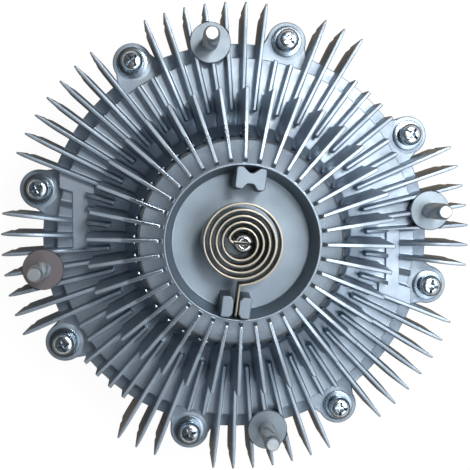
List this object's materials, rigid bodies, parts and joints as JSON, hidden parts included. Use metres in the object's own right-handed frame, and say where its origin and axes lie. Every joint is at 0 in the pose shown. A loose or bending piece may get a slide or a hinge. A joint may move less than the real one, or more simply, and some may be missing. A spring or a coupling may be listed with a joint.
{
  "type": "viscous fan clutch",
  "caption": "Finned aluminium viscous fan clutch with bimetal coil, stud-mounted fan seat and rear drive flange.",
  "frame": {"origin": "centre of the rear mounting face of the drive flange", "axes": "+Z along the shaft towards the finned front cover; X and Y are the picture's right and up"},
  "size_m": [0.2266, 0.2266, 0.088],
  "materials": {
    "cast_aluminium": "die-cast, satin",
    "machined_aluminium": "turned",
    "zinc_steel": "bright zinc",
    "ground_steel": "ground",
    "plate_steel": "pressed",
    "bimetal": "rolled strip",
    "rubber": "moulded"
  },
  "bodies": {
    "input_drive": {"input_shaft": "ground_steel", "rotor": "machined_aluminium", "rotor_retaining_ring": "plate_steel", "bearing_inner_race": "ground_steel"},
    "housing": {"front_cover": "cast_aluminium", "rear_case": "cast_aluminium", "cover_seal_ring": "rubber", "cover_screw_1": "zinc_steel", "cover_screw_2": "zinc_steel", "cover_screw_3": "zinc_steel", "cover_screw_4": "zinc_steel", "cover_screw_5": "zinc_steel", "cover_screw_6": "zinc_steel", "cover_screw_7": "zinc_steel", "cover_screw_8": "zinc_steel", "cover_washer_1": "zinc_steel", "cover_washer_2": "zinc_steel", "cover_washer_3": "zinc_steel", "cover_washer_4": "zinc_steel", "cover_washer_5": "zinc_steel", "cover_washer_6": "zinc_steel", "cover_washer_7": "zinc_steel", "cover_washer_8": "zinc_steel", "cover_spring_washer_1": "zinc_steel", "cover_spring_washer_2": "zinc_steel", "cover_spring_washer_3": "zinc_steel", "cover_spring_washer_4": "zinc_steel", "cover_spring_washer_5": "zinc_steel", "cover_spring_washer_6": "zinc_steel", "cover_spring_washer_7": "zinc_steel", "cover_spring_washer_8": "zinc_steel", "fan_stud_1": "zinc_steel", "fan_stud_2": "zinc_steel", "fan_stud_3": "zinc_steel", "fan_stud_4": "zinc_steel", "bearing_outer_race": "ground_steel", "bearing_retaining_ring": "plate_steel", "bearing_shield_rear": "plate_steel", "bearing_shield_front": "plate_steel", "separator_plate": "plate_steel", "plate_screw_1": "zinc_steel", "plate_screw_2": "zinc_steel", "plate_screw_3": "zinc_steel", "bimetal_spring": "bimetal"},
    "ball_cage": {"bearing_cage": "plate_steel", "bearing_ball_1": "ground_steel", "bearing_ball_2": "ground_steel", "bearing_ball_3": "ground_steel", "bearing_ball_4": "ground_steel", "bearing_ball_5": "ground_steel", "bearing_ball_6": "ground_steel", "bearing_ball_7": "ground_steel", "bearing_ball_8": "ground_steel", "bearing_ball_9": "ground_steel"},
    "valve": {"valve_shaft": "ground_steel", "valve_arm": "plate_steel", "valve_shaft_circlip": "plate_steel", "valve_shaft_o_ring": "rubber"}
  },
  "joints": [
    {"name": "housing_spin", "type": "hinge", "parent": "input_drive", "child": "housing", "pos_m": [0, 0, 0.022], "axis": [0, 0, 1], "continuous": true},
    {"name": "cage_spin", "type": "hinge", "parent": "input_drive", "child": "ball_cage", "pos_m": [0, 0, 0.022], "axis": [0, 0, 1], "continuous": true},
    {"name": "valve_turn", "type": "hinge", "parent": "housing", "child": "valve", "pos_m": [0, 0, 0.066], "axis": [0, 0, 1], "range_deg": [0, 30], "stiffness_Nm_per_rad": 0.4, "deforming": ["bimetal_spring"]}
  ],
  "couplings": [
    {"joint": "cage_spin", "follows": "housing_spin", "ratio": 0.6}
  ]
}
